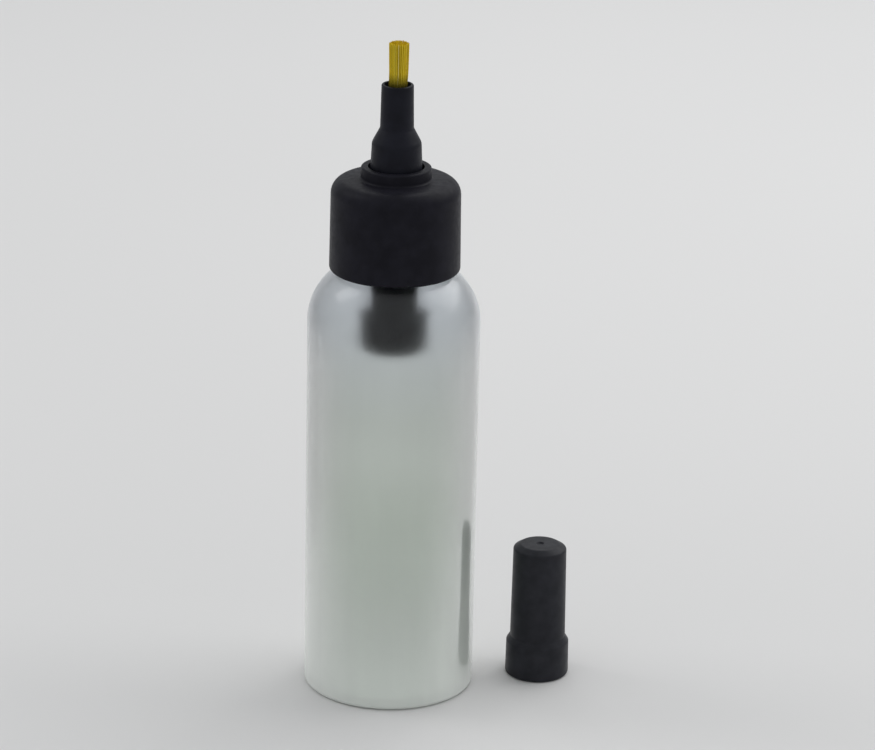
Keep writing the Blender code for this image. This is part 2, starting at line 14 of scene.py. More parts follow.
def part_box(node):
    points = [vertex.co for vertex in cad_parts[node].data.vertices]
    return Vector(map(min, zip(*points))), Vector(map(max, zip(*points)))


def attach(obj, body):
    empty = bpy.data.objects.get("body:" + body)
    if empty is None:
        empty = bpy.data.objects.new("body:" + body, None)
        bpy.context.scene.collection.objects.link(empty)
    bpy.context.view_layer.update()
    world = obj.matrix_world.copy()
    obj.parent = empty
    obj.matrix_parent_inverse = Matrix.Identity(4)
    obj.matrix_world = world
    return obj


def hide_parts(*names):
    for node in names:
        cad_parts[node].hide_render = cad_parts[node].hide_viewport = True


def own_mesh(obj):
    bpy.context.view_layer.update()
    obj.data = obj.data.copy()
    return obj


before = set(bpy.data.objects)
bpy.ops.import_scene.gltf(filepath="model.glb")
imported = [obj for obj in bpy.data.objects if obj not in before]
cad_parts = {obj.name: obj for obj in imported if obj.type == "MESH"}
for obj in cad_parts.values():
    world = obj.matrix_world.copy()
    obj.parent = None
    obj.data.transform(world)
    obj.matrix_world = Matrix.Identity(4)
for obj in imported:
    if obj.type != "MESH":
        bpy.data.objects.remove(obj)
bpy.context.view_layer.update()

# Heights and the overcap's place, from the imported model's own boxes
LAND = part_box("bottle")[1].z
CLOSURE_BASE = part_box("screw_closure")[0].z
COLLAR_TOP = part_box("screw_closure")[1].z
GASKET_BASE, GASKET_TOP = (corner.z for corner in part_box("neck_gasket"))
NOZZLE_BASE, NOZZLE_TIP = (corner.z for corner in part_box("nozzle"))
HOLDER_BASE, HOLDER_TOP = (corner.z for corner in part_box("nib_holder"))
BRUSH_BASE, BRUSH_TIP = (corner.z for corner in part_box("brush_tuft"))
CUP_BASE, CUP_TOP = (corner.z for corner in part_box("valve_cup"))
PLUNGER_BASE, PLUNGER_TOP = (corner.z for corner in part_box("valve_plunger"))
SEAL_BASE, SEAL_TOP = (corner.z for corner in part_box("valve_seal"))
SPRING_BASE, SPRING_TOP = (corner.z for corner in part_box("return_spring"))
CAP_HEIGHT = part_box("overcap")[1].z
CAP_PLACE = sum(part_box("overcap"), Vector()) / 2

# Bottle, as in the CAD source
BOTTLE_RADIUS = 0.0175
BOTTLE_WALL = 0.0010
SIDE_HEIGHT = 0.0787  # foot to the start of the shoulder
HEEL_RADIUS = 0.0011
INNER_HEEL_RADIUS = 0.0012
BASE_RECESS = 0.0005
BASE_THICKNESS = 0.0012
FOOT_RING_WIDTH = 0.0035
RECESS_SLOPE_WIDTH = 0.0006
SHOULDER_ARC = 0.0127
NECK_RADIUS = 0.01075
NECK_BORE_RADIUS = 0.0088
LAND_CHAMFER = 0.0003

# Bottle, only in the looks
RECESS_ARC = 0.0003
LAND_EDGE = 0.0001
SEAM_HEIGHT = 0.00004
SEAM_HALF_WIDTH = 0.00018
PINCH_LENGTH = 0.0210
PINCH_WIDTH = 0.0006
PINCH_HEIGHT = 0.0002

# Screw thread
PITCH = 0.003175
THREAD_TURNS = 1.5
THREAD_DEPTH = 0.0011
THREAD_CREST_WIDTH = 0.0008
THREAD_FLANK_SLOPE = 0.45  # axial growth of each flank for each unit of depth
THREAD_FLANK_GAP = 0.0002
THREAD_CREST_GAP = 0.0003
THREAD_DROP = 0.0030  # sealing land down to the middle of the thread's upper end
THREAD_BURY = 0.0005
THREAD_FADE_TURNS = 0.12
THREAD_STEPS = 120  # in a turn

# Screw closure
CLOSURE_WALL = 0.0009
CLOSURE_DRAFT = 0.0002
CLOSURE_ROOF = 0.00137
CLOSURE_FOOT_ARC = 0.8 * CLOSURE_WALL
CROWN_ARC = 0.0030
CROWN_RISE = 0.0003
CEILING_ARC = 0.0012
COLLAR_RADIUS = 0.0071
COLLAR_HEIGHT = 0.0025
COLLAR_EDGE = 0.00045
COLLAR_ROOT = 0.0005

# Nozzle
FLANGE_RADIUS = 0.0105
FLANGE_THICKNESS = 0.0012
SPIGOT_LENGTH = 0.00305
SPIGOT_RADIUS = 0.0057
BARREL_RADIUS = 0.0054
BARREL_TOP_RADIUS = 0.0050
BARREL_HEIGHT = 0.00873
BARREL_EDGE_ARC = 0.0022
CONE_ANGLE = math.radians(28)
TUBE_FILLET = 0.0012
TUBE_ROOT_RADIUS = 0.00338
TUBE_TIP_RADIUS = 0.00322
TUBE_LENGTH = 0.00862
TUBE_EDGE = 0.0003
BORE_STEP_DROP = 0.0013  # tube's root down to the step that stops the nib
NIB_FLANGE_OVERLAP = 0.00068  # how much wider the lower bore is than the upper one

# Brush, holder and valve
SEAT_GAP = 0.00015  # between faces that are stacked on each other
RUNNING_GAP = 0.00025  # around a piece that slides or turns in another
BRUSH_RADIUS = 0.00187
HOLDER_WALL = 0.0004
SOCKET_DEPTH = 0.0060
HOLDER_FLANGE_THICKNESS = 0.00115
HOLDER_PORT_RADIUS = 0.0010
SEAL_WIDTH = 0.0014
PLUNGER_HEAD_RADIUS = 0.0049
PLUNGER_HEAD_THICKNESS = 0.0016
PLUNGER_RIBS = 4
PLUNGER_RIB_THICKNESS = 0.0008
GUIDE_PIN_RADIUS = 0.0022
GUIDE_PIN_EDGE = 0.0005
CUP_WALL = 0.0010
CUP_FLOOR = 0.0014
CUP_EDGE_ARC = 0.0015
CUP_POST_HEIGHT = 0.0090
CUP_WINDOWS = 2
CUP_WINDOW_WIDTH = 0.0102
CUP_WINDOW_HEIGHT = 0.0080
CUP_WINDOW_SILL = 0.0074  # above the cup's underside

# Return spring
WIRE_RADIUS = 0.0003
WIRE_SIDES = 10
SPRING_GAP = 0.0003
SPRING_ACTIVE_TURNS = 7
SPRING_CLOSED_TURNS = 1
SPRING_CLOSED_PITCH = 2.3  # in wire radii
SPRING_STEPS = 40  # in a turn

# Overcap
CAP_GRIP_HEIGHT = 0.0073
CAP_GRIP_RADIUS = 0.0066
CAP_GRIP_DRAFT = 0.0001
CAP_STEP_HEIGHT = 0.0012
CAP_BODY_RADIUS = 0.00575
CAP_BODY_DRAFT = 0.00024
CAP_ROOF = 0.0024
CAP_ROOF_CHAMFER = 0.0015
CAP_ROOF_DROP = 0.0009
CAP_BORE_GAP = 0.0001
CAP_INNER_WALL = 0.0013
CAP_BEAD = 0.00005
CAP_BEAD_HEIGHT = 0.0025
CAP_BEAD_LENGTH = 0.0008
CAP_EDGE = 0.0003
CAP_GATE_RADIUS = 0.0009
CAP_GATE_DEPTH = 0.0003

# Overcap, only in the looks
CAP_FOOT_ARC = 0.0007  # round where the CAD has a chamfer
CAP_GRIP_ARC = 0.0004
CAP_STEP_ARC = 0.0003
CAP_CHAMFER_ARC = 0.0006
CAP_ROOF_ARC = 0.0008

# Radii that follow
THREAD_RADIUS = NECK_RADIUS + THREAD_DEPTH
SKIRT_BORE_RADIUS = THREAD_RADIUS + THREAD_CREST_GAP
INNER_THREAD_RADIUS = NECK_RADIUS + THREAD_CREST_GAP
CLOSURE_TOP_RADIUS = SKIRT_BORE_RADIUS + CLOSURE_WALL
COLLAR_BORE_RADIUS = BARREL_RADIUS + RUNNING_GAP
SOCKET_RADIUS = BRUSH_RADIUS + SEAT_GAP
HOLDER_RADIUS = SOCKET_RADIUS + HOLDER_WALL
NIB_BORE_RADIUS = HOLDER_RADIUS + RUNNING_GAP
VALVE_BORE_RADIUS = NIB_BORE_RADIUS + NIB_FLANGE_OVERLAP
STEM_RADIUS = VALVE_BORE_RADIUS - RUNNING_GAP
SEAL_BORE_RADIUS = VALVE_BORE_RADIUS + RUNNING_GAP
CUP_BORE_RADIUS = SPIGOT_RADIUS + RUNNING_GAP
CUP_RADIUS = CUP_BORE_RADIUS + CUP_WALL
SPRING_RADIUS = GUIDE_PIN_RADIUS + SPRING_GAP + WIRE_RADIUS
CAP_BORE_RADIUS = BARREL_RADIUS + CAP_BORE_GAP

# Where the neck's thread starts, and how much lower the closure's runs
NECK_THREAD_START = LAND - THREAD_DROP - PITCH * THREAD_TURNS
THREAD_OFFSET = (
    THREAD_CREST_WIDTH
    + THREAD_FLANK_SLOPE * (THREAD_RADIUS - INNER_THREAD_RADIUS)
    + THREAD_FLANK_GAP
)

# Bristles
STRANDS = 460
STRAND_RADIUS = 0.000062
STRAND_SIDES = 6
STRAND_RINGS = 7
STRAND_SPREAD = 1.09  # width of the bundle at its tip, by its width in the holder
STRAND_LEAN = 0.00018
STRAND_LEAN_RATE = 4.0  # the lean is complete after one part in this many of the free length
STRAND_WANDER = 0.00006
STRAND_BEND = 2.2  # how far along a sine wave a strand gets on its free length, in radians
STRAND_TAPER = 0.12
STRAND_RAGGED = 0.00022
STRAND_SEED = 24
TONE_MIDDLE = 0.40
TONE_SPREAD = 0.15
PAINTED_RIM_START = 0.8  # share of the radius beyond which strands are painted paler, a painted highlight
PAINTED_RIM_GAIN = 1.4
GOLDEN_ANGLE = math.pi * (3 - math.sqrt(5))
ROOT_SHARE = 0.6  # of the socket's depth, filled by the fused root
ROOT_AND_PAINTED_SHADE_START = -0.0002  # from the nozzle's tip; above the tip the dark root colour is painted shade where the strands leave the tube
ROOT_AND_PAINTED_SHADE_END = 0.0024

# Facets round a full turn
BOTTLE_COLUMNS = 144
WIDE_COLUMNS = 112
RING_COLUMNS = 96
SMALL_COLUMNS = 72
ROOT_COLUMNS = 48

# Frosted plastic
HAZE_TOP = 0.044  # height where the base's cloudiness ends
BASE_CLEARNESS = 0.25
FLAT_ANGLE_CLEARNESS = 0.4
FLOW_SHADE = 0.955  # how dark the upright flow marks get
SHOULDER_GLOSS = 0.2
GLOSS_FADE_START = SIDE_HEIGHT - 0.008
GLOSS_FADE_END = SIDE_HEIGHT + 0.003
UPRIGHT = (1.0, 1.0, 0.06)  # draws noise out into upright marks

# Camera, from the fit of the bottle's outline in the photograph
PHOTO_WIDTH = 875
FOCAL_PIXELS = 4039.17
SENSOR_WIDTH = 36.0
CAMERA_PLACE = Vector((0.0, -0.77367, 0.34255))
CAMERA_YAW = 0.0117
CAMERA_PITCH = 0.3421
CAMERA_ROLL = 0.0203

# Stage
LAMP_AIM = Vector((0.0, 0.0, 0.07))
FLOOR_REACH = 4.0
FLOOR_SQUARES = 8
WORLD_COLOUR = (0.96, 0.98, 1.0)
WORLD_STRENGTH = 0.61

EDGE = 0.00012  # easing of a moulded edge that has no radius of its own
WELD = 1e-7
SHARP_ANGLE = math.radians(34)


def arc(centre, radius, start, end, steps):
    """Unrounded corners along a circle in the (radius, height) plane. Angles are in degrees."""
    corners = []
    for step in range(steps + 1):
        angle = math.radians(start + (end - start) * step / steps)
        across = centre[0] + radius * math.cos(angle)
        corners.append((across, centre[1] + radius * math.sin(angle), 0.0))
    return corners


def eased(corners, steps=4):
    """Points of a closed section, from corners as (radius, height, fillet) that it rounds."""
    points = []
    for index, (radius, height, fillet) in enumerate(corners):
        here = Vector((radius, height))
        if not fillet:
            points.append(here)
            continue
        before = (Vector(corners[index - 1][:2]) - here).normalized()
        after = (Vector(corners[(index + 1) % len(corners)][:2]) - here).normalized()
        half = before.angle(after) / 2
        middle = here + (before + after).normalized() * fillet / math.sin(half)
        start = (here + before * fillet / math.tan(half) - middle).normalized()
        end = (here + after * fillet / math.tan(half) - middle).normalized()
        for step in range(steps + 1):
            points.append(middle + start.slerp(end, step / steps) * fillet)
    return points


def add_object(name, shape, material):
    """Makes a smooth-shaded object of a bmesh, which it frees."""
    bmesh.ops.remove_doubles(shape, verts=shape.verts, dist=WELD)
    bmesh.ops.recalc_face_normals(shape, faces=shape.faces)
    mesh = bpy.data.meshes.new(name)
    shape.to_mesh(mesh)
    shape.free()
    mesh.shade_smooth()
    mesh.set_sharp_from_angle(angle=SHARP_ANGLE)
    mesh.materials.append(material)
    piece = bpy.data.objects.new(name, mesh)
    bpy.context.scene.collection.objects.link(piece)
    return piece


def lathe(name, section, columns, material, extra=()):
    """Turns a section round the Z axis. Extra angles, in radians, add columns to the even ones."""
    angles = sorted({math.tau * step / columns for step in range(columns)} | set(extra))
    shape = bmesh.new()
    rings = []
    for angle in angles:
        cosine, sine = math.cos(angle), math.sin(angle)
        rings.append([shape.verts.new((r * cosine, r * sine, height)) for r, height in section])
    closed = section[0][0] > WELD
    spans = len(section) if closed else len(section) - 1
    for ring, following in zip(rings, rings[1:] + rings[:1]):
        for index in range(spans):
            after = (index + 1) % len(section)
            shape.faces.new((ring[index], ring[after], following[after], following[index]))
    return add_object(name, shape, material)


def sweep(shape, sections):
    """Joins equal rings of vertices into a sweep with flat ends."""
    for first, second in zip(sections, sections[1:]):
        for index in range(len(first)):
            after = (index + 1) % len(first)
            shape.faces.new((first[index], first[after], second[after], second[index]))
    shape.faces.new(sections[0])
    shape.faces.new(sections[-1])


def combine(piece, other, operation):
    """Applies a Boolean to a piece and removes its other object."""
    modifier = piece.modifiers.new(operation, "BOOLEAN")
    modifier.operation = operation
    modifier.solver = "EXACT"
    modifier.object = other
    graph = bpy.context.evaluated_depsgraph_get()
    mesh = bpy.data.meshes.new_from_object(piece.evaluated_get(graph))
    piece.modifiers.clear()
    piece.data = mesh
    bpy.data.objects.remove(other)
    mesh.shade_smooth()
    mesh.set_sharp_from_angle(angle=SHARP_ANGLE)


def dressed(piece, body, node):
    """Puts a piece on its body, in place of its CAD node, which it hides."""
    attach(piece, body)
    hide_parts(node)
    return piece


class Finish:
    """A Principled material, with ways to vary its colour, roughness and relief over the surface."""

    def __init__(self, name, **values):
        self.material = bpy.data.materials.new(name)
        self.material.use_nodes = True
        self.nodes = self.material.node_tree.nodes
        self.links = self.material.node_tree.links
        self.shader = self.nodes["Principled BSDF"]
        self.places = self.nodes.new("ShaderNodeTexCoord").outputs["Object"]
        self.relief = None
        for socket, value in values.items():
            self.shader.inputs[socket.replace("_", " ")].default_value = value

    def noise(self, scale, detail=3.0, stretch=(1.0, 1.0, 1.0)):
        """Noise in the piece's own coordinates; scale is in waves to the metre."""
        mapping = self.nodes.new("ShaderNodeMapping")
        mapping.inputs["Scale"].default_value = stretch
        texture = self.nodes.new("ShaderNodeTexNoise")
        texture.inputs["Scale"].default_value = scale
        texture.inputs["Detail"].default_value = detail
        self.links.new(self.places, mapping.inputs["Vector"])
        self.links.new(mapping.outputs["Vector"], texture.inputs["Vector"])
        return texture.outputs["Fac"]

    def height(self):
        """Height above the floor."""
        split = self.nodes.new("ShaderNodeSeparateXYZ")
        self.links.new(self.places, split.inputs["Vector"])
        return split.outputs["Z"]

    def flatness(self):
        """How flat an angle the surface is seen at: 0 face on, 1 along it."""
        return self.nodes.new("ShaderNodeLayerWeight").outputs["Facing"]

    def ramp(self, source, stops):
        """A colour ramp with stops as (position, (red, green, blue))."""
        node = self.nodes.new("ShaderNodeValToRGB")
        elements = node.color_ramp.elements
        while len(elements) < len(stops):
            elements.new(0.5)
        for element, (position, colour) in zip(elements, stops):
            element.position = position
            element.color = (*colour, 1.0)
        self.links.new(source, node.inputs["Fac"])
        return node.outputs["Color"]

    def spread(self, source, low, high, start=0.3, end=0.7):
        """Maps a value's range from start to end onto low to high."""
        node = self.nodes.new("ShaderNodeMapRange")
        node.inputs["From Min"].default_value = start
        node.inputs["From Max"].default_value = end
        node.inputs["To Min"].default_value = low
        node.inputs["To Max"].default_value = high
        self.links.new(source, node.inputs["Value"])
        return node.outputs["Result"]

    def blended(self, share, first, second):
        """Mixes two colours by a share."""
        node = self.nodes.new("ShaderNodeMix")
        node.data_type = "RGBA"
        self.links.new(share, node.inputs["Factor"])
        self.links.new(first, node.inputs["A"])
        self.links.new(second, node.inputs["B"])
        return node.outputs["Result"]

    def product(self, first, second):
        """Multiplies two values."""
        node = self.nodes.new("ShaderNodeMath")
        node.operation = "MULTIPLY"
        self.links.new(first, node.inputs[0])
        self.links.new(second, node.inputs[1])
        return node.outputs["Value"]

    def vary(self, socket, source):
        """Lets a source set one of the shader's values."""
        self.links.new(source, self.shader.inputs[socket])

    def colour(self, source):
        self.vary("Base Color", source)

    def rough(self, source):
        self.vary("Roughness", source)

    def raised(self, source, height):
        """Adds relief of this height on top of what is there already."""
        node = self.nodes.new("ShaderNodeBump")
        node.inputs["Distance"].default_value = height
        self.links.new(source, node.inputs["Height"])
        if self.relief:
            self.links.new(self.relief, node.inputs["Normal"])
        self.relief = node.outputs["Normal"]
        self.vary("Normal", self.relief)


def frosted_tint_and_painted_light(finish, up):
    """Paler low on the side and darker higher up, which is painted light that lifts the shade near the
    base; cooler towards the shoulder, with faint upright flow marks. The stops go up the side.
    """
    # Painted light: the stops up to 0.42 are paler, to lift the shade near the bottle's base.
    tints_and_painted_light = [
        (0.00, (0.950, 1.000, 0.940)),
        (0.25, (0.962, 1.000, 0.952)),
        (0.42, (0.938, 0.978, 0.932)),
        (0.60, (0.800, 0.832, 0.798)),
        (0.80, (0.770, 0.800, 0.778)),
        (1.00, (0.815, 0.842, 0.868)),
    ]
    marked_tints_and_painted_light = [(place, tuple(FLOW_SHADE * channel for channel in tint)) for place, tint in tints_and_painted_light]
    level = finish.spread(up, 0.0, 1.0, start=0.0, end=SIDE_HEIGHT)
    marks = finish.spread(finish.noise(150.0, stretch=UPRIGHT), 0.0, 1.0)
    return finish.blended(marks, finish.ramp(level, tints_and_painted_light), finish.ramp(level, marked_tints_and_painted_light))


def frosted_finish():
    """Natural polyethylene: it lets light through, blurred, and its skin shines at a flat angle."""
    finish = Finish("frosted_polyethylene", IOR=1.35, Coat_IOR=3.4, Coat_Roughness=0.1)
    up = finish.height()
    flatness = finish.flatness()
    clearness = finish.product(
        finish.spread(up, BASE_CLEARNESS, 1.0, start=0.0, end=HAZE_TOP),
        finish.spread(flatness, 1.0, FLAT_ANGLE_CLEARNESS, start=0.6, end=0.9),
    )
    gloss = finish.product(
        finish.spread(up, 1.0, SHOULDER_GLOSS, start=GLOSS_FADE_START, end=GLOSS_FADE_END),
        finish.spread(flatness, 0.0, 1.0, start=0.15, end=0.48),
    )
    # Its colour carries painted light: paler low down, against the shade near the base.
    finish.colour(frosted_tint_and_painted_light(finish, up))
    finish.vary("Transmission Weight", clearness)
    finish.vary("Coat Weight", gloss)
    finish.rough(finish.spread(finish.noise(200.0), 0.30, 0.36))
    finish.raised(finish.noise(260.0, detail=1.0, stretch=UPRIGHT), height=0.00006)
    finish.raised(finish.noise(9000.0, detail=2.0), height=0.000004)
    return finish.material


def black_finish(name, colour, roughness, grain, ior=1.22):
    """Moulded black plastic: an even fine grain, with shade and shine that vary a little in patches."""
    finish = Finish(name, IOR=ior)
    patches = finish.noise(300.0, detail=4.0)
    paler = tuple(channel * 1.5 for channel in colour)
    finish.colour(finish.ramp(patches, [(0.35, colour), (0.7, paler)]))
    finish.rough(finish.spread(finish.noise(900.0, detail=5.0), *roughness))
    finish.raised(finish.noise(5200.0), height=grain)
    finish.raised(finish.noise(420.0, detail=2.0), height=grain * 3)
    return finish.material


def foam_finish():
    finish = Finish("white_foam", Sheen_Weight=0.1)
    cells = finish.noise(4200.0, detail=2.0)
    finish.colour(finish.ramp(cells, [(0.35, (0.66, 0.66, 0.63)), (0.65, (0.80, 0.80, 0.77))]))
    finish.rough(finish.spread(cells, 0.65, 0.85))
    finish.raised(cells, height=0.00003)
    return finish.material


def elastomer_finish():
    finish = Finish("grey_elastomer", IOR=1.45)
    bloom = finish.noise(700.0, detail=4.0)
    finish.colour(finish.ramp(bloom, [(0.3, (0.065, 0.065, 0.067)), (0.7, (0.10, 0.10, 0.10))]))
    finish.rough(finish.spread(bloom, 0.5, 0.7))
    finish.raised(finish.noise(3000.0), height=0.00001)
    return finish.material


def steel_finish():
    finish = Finish("spring_steel", Metallic=1.0)
    drawn = finish.noise(2600.0, detail=4.0, stretch=(1.0, 1.0, 4.0))
    finish.colour(finish.ramp(drawn, [(0.3, (0.48, 0.48, 0.49)), (0.7, (0.62, 0.62, 0.63))]))
    finish.rough(finish.spread(drawn, 0.18, 0.34))
    finish.raised(drawn, height=0.000004)
    return finish.material


def bristle_finish():
    """Amber nylon: each strand has its own tone, with strands near the bundle's edge painted paler as a
    painted highlight; the fused root is darker and greener, and that dark colour reaching above the
    tube's mouth is painted shade.
    """
    finish = Finish("amber_bristle", IOR=1.1, Roughness=0.4)
    tone = finish.nodes.new("ShaderNodeAttribute")
    tone.attribute_name = "tone"
    ambers = [
        (0.0, (0.44, 0.28, 0.003)),
        (0.45, (0.66, 0.45, 0.005)),
        (0.8, (0.80, 0.65, 0.06)),
        # The palest stops are reached mostly by the strands painted paler near the bundle's edge, a
        # painted highlight.
        (1.0, (0.86, 0.78, 0.34)),
    ]
    strands = finish.ramp(tone.outputs["Fac"], ambers)
    streaks = finish.noise(5200.0, stretch=(1.0, 1.0, 0.04))
    # Fused root colour inside the tube, and painted shade where it runs up past the nozzle's tip.
    root_and_painted_shade = finish.ramp(streaks, [(0.35, (0.10, 0.085, 0.01)), (0.7, (0.19, 0.15, 0.02))])
    start = NOZZLE_TIP + ROOT_AND_PAINTED_SHADE_START
    end = NOZZLE_TIP + ROOT_AND_PAINTED_SHADE_END
    up = finish.spread(finish.height(), 0.0, 1.0, start=start, end=end)
    finish.colour(finish.blended(up, root_and_painted_shade, strands))
    finish.raised(streaks, height=0.000008)
    return finish.material


def ridge_corners(wall_radius, crest_radius, fade):
    """The thread's section as (radius, rise): in full at a fade of 1, and sunk in the wall at 0."""
    outward = 1 if crest_radius > wall_radius else -1
    buried_radius = wall_radius - outward * THREAD_BURY
    sunk = wall_radius - outward * THREAD_BURY / 2
    top = sunk + (crest_radius - sunk) * fade
    crest_half = THREAD_CREST_WIDTH / 2
    buried_half = crest_half + THREAD_FLANK_SLOPE * abs(crest_radius - buried_radius)
    top_half = crest_half + THREAD_FLANK_SLOPE * abs(crest_radius - top)
    edge = min(EDGE, abs(top - buried_radius) / 3)
    return (
        (buried_radius, -buried_half),
        (top - outward * edge, -top_half),
        (top, edge - top_half),
        (top, top_half - edge),
        (top - outward * edge, top_half),
        (buried_radius, buried_half),
    )


def thread_ridge(wall_radius, crest_radius, start_height, material):
    """One helical ridge on a wall, outward or inward, that sinks into the wall at both ends."""
    steps = round(THREAD_TURNS * THREAD_STEPS)
    fade_steps = THREAD_FADE_TURNS * THREAD_STEPS
    shape = bmesh.new()
    sections = []
    for step in range(steps + 1):
        turn = Matrix.Rotation(math.tau * step / THREAD_STEPS, 4, "Z")
        middle = start_height + PITCH * step / THREAD_STEPS
        fade = min(1.0, step / fade_steps, (steps - step) / fade_steps)
        section = []
        for radius, rise in ridge_corners(wall_radius, crest_radius, fade):
            section.append(shape.verts.new(turn @ Vector((radius, 0.0, middle + rise))))
        sections.append(section)
    sweep(shape, sections)
    return add_object("thread_ridge", shape, material)


def bottle_section():
    centre_radius = BOTTLE_RADIUS - SHOULDER_ARC
    centre = (centre_radius, SIDE_HEIGHT)
    neck_angle = math.degrees(math.acos((NECK_RADIUS - centre_radius) / SHOULDER_ARC))
    inner_arc = SHOULDER_ARC - BOTTLE_WALL
    bore_angle = math.degrees(math.acos((NECK_BORE_RADIUS - centre_radius) / inner_arc))
    bore_radius = BOTTLE_RADIUS - BOTTLE_WALL
    floor = BASE_RECESS + BASE_THICKNESS
    ring_outer = BOTTLE_RADIUS - HEEL_RADIUS
    ring_inner = ring_outer - FOOT_RING_WIDTH
    inner_heel = (bore_radius - INNER_HEEL_RADIUS, floor + INNER_HEEL_RADIUS)
    return eased(
        [
            (0.0, BASE_RECESS, 0.0),
            (ring_inner - RECESS_SLOPE_WIDTH, BASE_RECESS, RECESS_ARC),
            (ring_inner, 0.0, RECESS_ARC),
            *arc((ring_outer, HEEL_RADIUS), HEEL_RADIUS, -90, 0, steps=9),
            *arc(centre, SHOULDER_ARC, 0, neck_angle, steps=26),
            (NECK_RADIUS, LAND - LAND_CHAMFER, 0.0),
            (NECK_RADIUS - LAND_CHAMFER, LAND, LAND_EDGE),
            (NECK_BORE_RADIUS, LAND, EDGE),
            *arc(centre, inner_arc, bore_angle, 0, steps=22),
            *arc(inner_heel, INNER_HEEL_RADIUS, 0, -90, steps=7),
            (0.0, floor, 0.0),
        ]
    )


def raise_seams(bottle):
    """Lifts the faint parting lines that the mould's halves leave on the side and shoulder."""
    for vertex in bottle.data.vertices:
        x, y, z = vertex.co
        skin = BOTTLE_RADIUS - BOTTLE_WALL / 2 if z <= SIDE_HEIGHT else NECK_RADIUS - WELD
        on_skin = HEEL_RADIUS < z < LAND - THREAD_DROP and math.hypot(x, y) > skin
        if on_skin and abs(y) < WELD:
            vertex.co.x += math.copysign(SEAM_HEIGHT, x)


def pinch_line(material):
    """The short ridge across the base, where the mould pinched off the blown tube."""
    shape = bmesh.new()
    size = Matrix.Diagonal((PINCH_LENGTH, PINCH_WIDTH, 2 * PINCH_HEIGHT, 1.0))
    bmesh.ops.create_cube(shape, size=1.0, matrix=Matrix.Translation((0, 0, BASE_RECESS)) @ size)
    edges = [edge for edge in shape.edges if abs(edge.verts[0].co.z - edge.verts[1].co.z) < WELD]
    low = [edge for edge in edges if edge.verts[0].co.z < BASE_RECESS]
    bmesh.ops.bevel(shape, geom=low, offset=EDGE, segments=3, affect="EDGES")
    return add_object("pinch_line", shape, material)


def make_bottle(material):
    seam_angle = SEAM_HALF_WIDTH / BOTTLE_RADIUS
    extra = [seam_angle, math.pi - seam_angle, math.pi + seam_angle, math.tau - seam_angle]
    bottle = lathe("bottle_shell", bottle_section(), BOTTLE_COLUMNS, material, extra)
    raise_seams(bottle)
    ridge = thread_ridge(NECK_RADIUS, THREAD_RADIUS, NECK_THREAD_START, material)
    combine(bottle, ridge, "UNION")
    combine(bottle, pinch_line(material), "UNION")
    return dressed(bottle, "bottle", "bottle")


def make_closure(material):
    skirt_radius = CLOSURE_TOP_RADIUS + CLOSURE_DRAFT
    crown = COLLAR_TOP - COLLAR_HEIGHT - CROWN_RISE
    ceiling = crown - CLOSURE_ROOF
    corners = [
        (SKIRT_BORE_RADIUS, CLOSURE_BASE, EDGE),
        (skirt_radius, CLOSURE_BASE, CLOSURE_FOOT_ARC),
        (CLOSURE_TOP_RADIUS, crown, CROWN_ARC),
        (COLLAR_RADIUS, crown + CROWN_RISE, COLLAR_ROOT),
        (COLLAR_RADIUS, COLLAR_TOP, COLLAR_EDGE),
        (COLLAR_BORE_RADIUS, COLLAR_TOP, EDGE),
        (COLLAR_BORE_RADIUS, ceiling, EDGE),
        (SKIRT_BORE_RADIUS, ceiling, CEILING_ARC),
    ]
    closure = lathe("closure_shell", eased(corners, steps=9), BOTTLE_COLUMNS, material)
    start = NECK_THREAD_START - THREAD_OFFSET
    ridge = thread_ridge(SKIRT_BORE_RADIUS, INNER_THREAD_RADIUS, start, material)
    combine(closure, ridge, "UNION")
    return dressed(closure, "closure", "screw_closure")


def make_gasket(material):
    bore = NECK_BORE_RADIUS + SEAT_GAP
    corners = [
        (bore, GASKET_BASE, EDGE),
        (FLANGE_RADIUS, GASKET_BASE, EDGE),
        (FLANGE_RADIUS, GASKET_TOP, EDGE),
        (bore, GASKET_TOP, EDGE),
    ]
    gasket = lathe("sealing_ring", eased(corners), RING_COLUMNS, material)
    return dressed(gasket, "applicator", "neck_gasket")


def make_nozzle(material):
    """Spigot, flange, barrel, cone and tube in one, with a bore that is stepped to stop the nib."""
    flange = NOZZLE_BASE + SPIGOT_LENGTH
    tube_root = NOZZLE_TIP - TUBE_LENGTH
    barrel_top = flange + FLANGE_THICKNESS + BARREL_HEIGHT
    slope = math.degrees(CONE_ANGLE)
    bore_step = tube_root - BORE_STEP_DROP
    barrel_centre = (BARREL_TOP_RADIUS - BARREL_EDGE_ARC, barrel_top)
    fillet_centre = (TUBE_ROOT_RADIUS + TUBE_FILLET, tube_root)
    corners = [
        (VALVE_BORE_RADIUS, NOZZLE_BASE, EDGE),
        (SPIGOT_RADIUS, NOZZLE_BASE, 2 * EDGE),
        (SPIGOT_RADIUS, flange, 0.0),
        (FLANGE_RADIUS, flange, EDGE),
        (FLANGE_RADIUS, flange + FLANGE_THICKNESS, EDGE),
        (BARREL_RADIUS, flange + FLANGE_THICKNESS, 0.0),
        *arc(barrel_centre, BARREL_EDGE_ARC, 0, slope, steps=10),
        *arc(fillet_centre, TUBE_FILLET, 180 + slope, 180, steps=8),
        (TUBE_TIP_RADIUS, NOZZLE_TIP, TUBE_EDGE),
        (NIB_BORE_RADIUS, NOZZLE_TIP, EDGE),
        (NIB_BORE_RADIUS, bore_step, 0.0),
        (VALVE_BORE_RADIUS, bore_step, 0.0),
    ]
    nozzle = lathe("nozzle_body", eased(corners, steps=6), WIDE_COLUMNS, material)
    return dressed(nozzle, "applicator", "nozzle")


